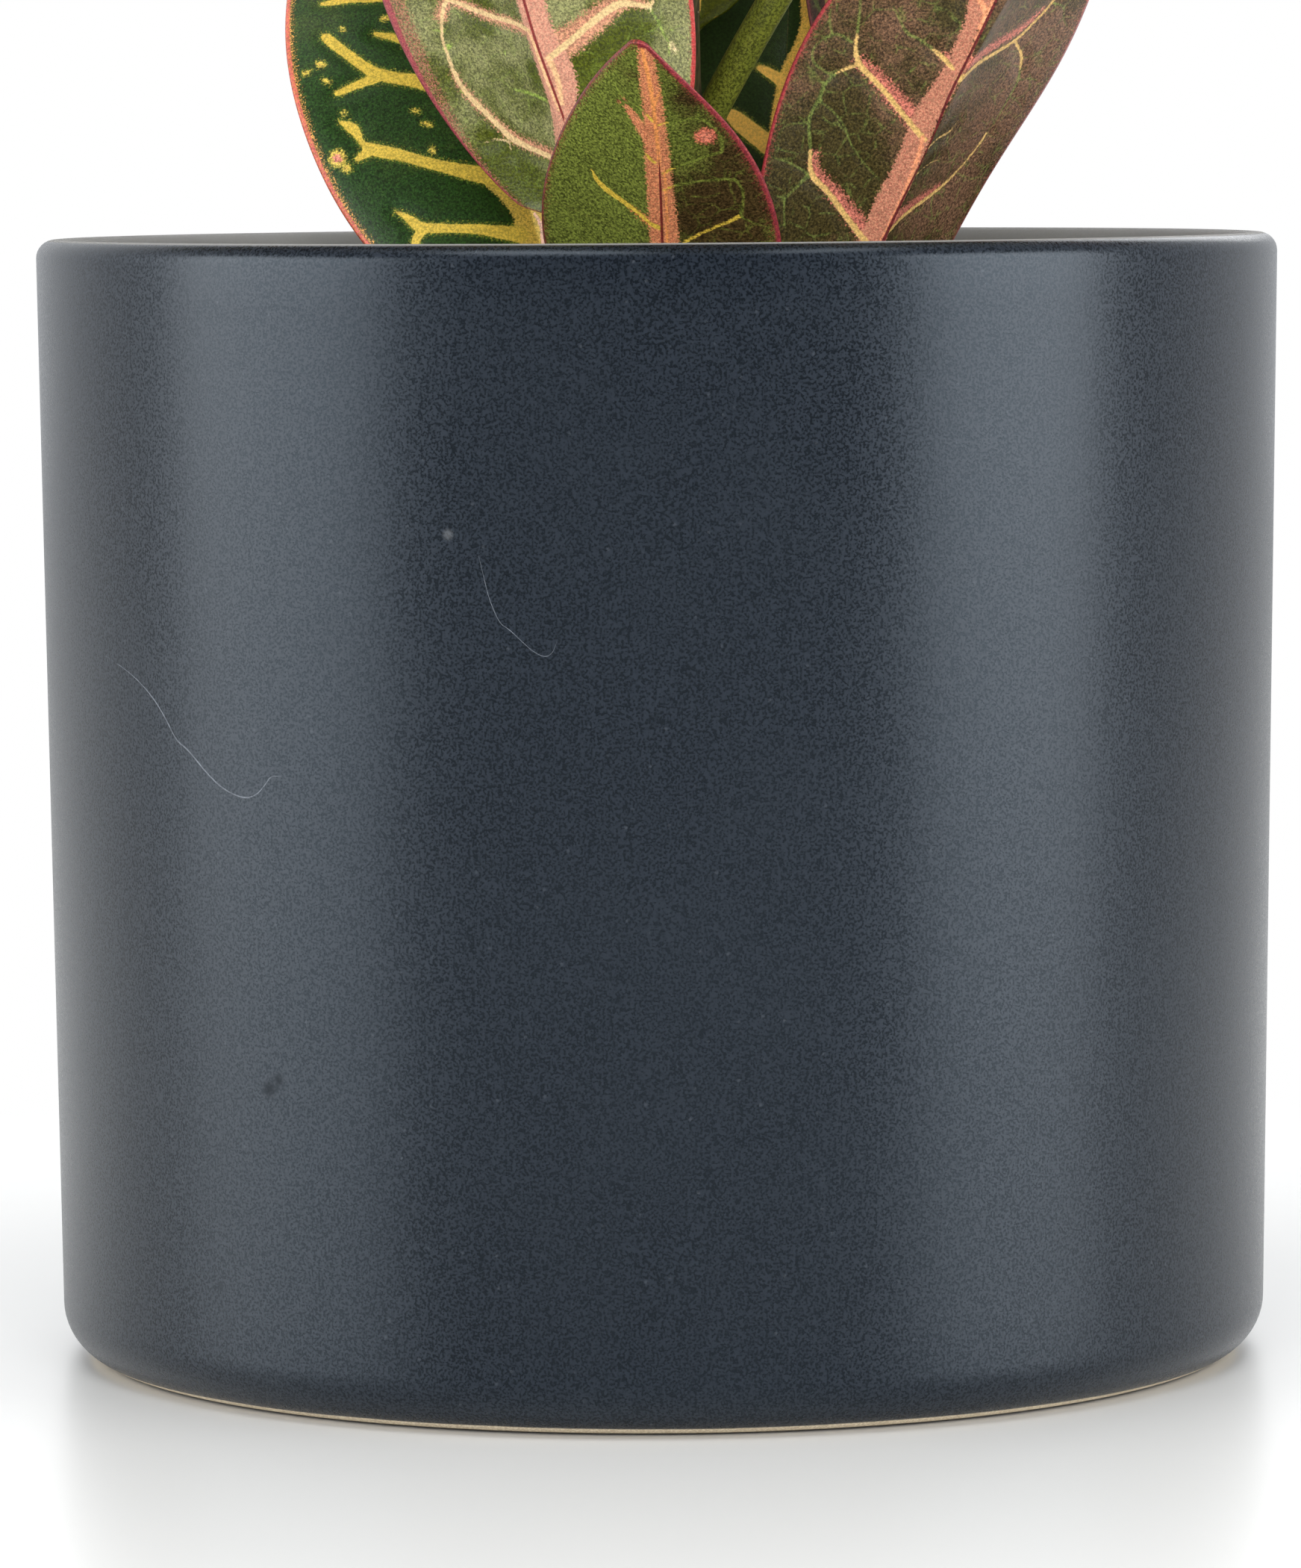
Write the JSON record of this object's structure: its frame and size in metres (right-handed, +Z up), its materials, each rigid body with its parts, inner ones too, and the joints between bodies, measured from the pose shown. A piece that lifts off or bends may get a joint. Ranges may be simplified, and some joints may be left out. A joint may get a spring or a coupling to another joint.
{
  "type": "potted croton",
  "caption": "Potted croton: a bushy, upright house plant with broad, boldly veined leaves on woody stems, growing in potting mix in a round glazed pot.",
  "frame": {"origin": "middle of the pot's foot, on the surface that the pot stands on", "axes": "+Z up, -Y towards the front, +X to the right as seen from the front"},
  "size_m": [0.3764, 0.3676, 0.51],
  "materials": {
    "glaze": "satin",
    "soil": "matte",
    "stem": "matte",
    "leaf_dark": "satin",
    "leaf_olive": "satin",
    "leaf_maroon": "satin"
  },
  "bodies": {
    "root": {"pot": "glaze", "soil": "soil", "stem_left": "stem", "stem_middle": "stem", "stem_right": "stem", "leaf_left_back": "leaf_dark", "leaf_left_front": "leaf_olive", "leaf_centre_front": "leaf_olive", "leaf_right_front": "leaf_maroon", "leaf_right_back": "leaf_dark", "leaf_right_high": "leaf_olive", "leaf_middle_back": "leaf_dark", "leaf_left_low_1": "leaf_maroon", "leaf_left_low_2": "leaf_maroon", "leaf_right_low_1": "leaf_maroon", "leaf_left_01": "leaf_maroon", "leaf_middle_01": "leaf_maroon", "leaf_right_01": "leaf_maroon", "leaf_middle_02": "leaf_maroon", "leaf_left_02": "leaf_maroon", "leaf_middle_03": "leaf_maroon", "leaf_left_03": "leaf_maroon", "leaf_right_02": "leaf_maroon", "leaf_middle_04": "leaf_maroon", "leaf_left_04": "leaf_maroon", "leaf_right_03": "leaf_maroon", "leaf_middle_05": "leaf_maroon", "leaf_left_05": "leaf_maroon", "leaf_middle_06": "leaf_maroon", "leaf_left_06": "leaf_dark", "leaf_middle_07": "leaf_dark", "leaf_right_04": "leaf_dark", "leaf_left_07": "leaf_dark", "leaf_middle_08": "leaf_dark", "leaf_right_05": "leaf_dark", "leaf_left_08": "leaf_dark", "leaf_middle_09": "leaf_dark", "leaf_right_06": "leaf_dark", "leaf_middle_10": "leaf_dark", "leaf_left_09": "leaf_dark", "leaf_right_07": "leaf_dark", "leaf_middle_11": "leaf_dark", "leaf_middle_12": "leaf_olive", "leaf_left_10": "leaf_olive", "leaf_middle_13": "leaf_olive", "leaf_right_08": "leaf_olive", "leaf_left_11": "leaf_olive", "leaf_middle_14": "leaf_olive", "leaf_right_09": "leaf_olive", "leaf_left_12": "leaf_olive", "leaf_middle_15": "leaf_olive", "leaf_left_13": "leaf_olive", "leaf_middle_16": "leaf_olive", "leaf_left_14": "leaf_olive", "leaf_middle_17": "leaf_olive", "leaf_right_10": "leaf_olive"}
  },
  "joints": []
}
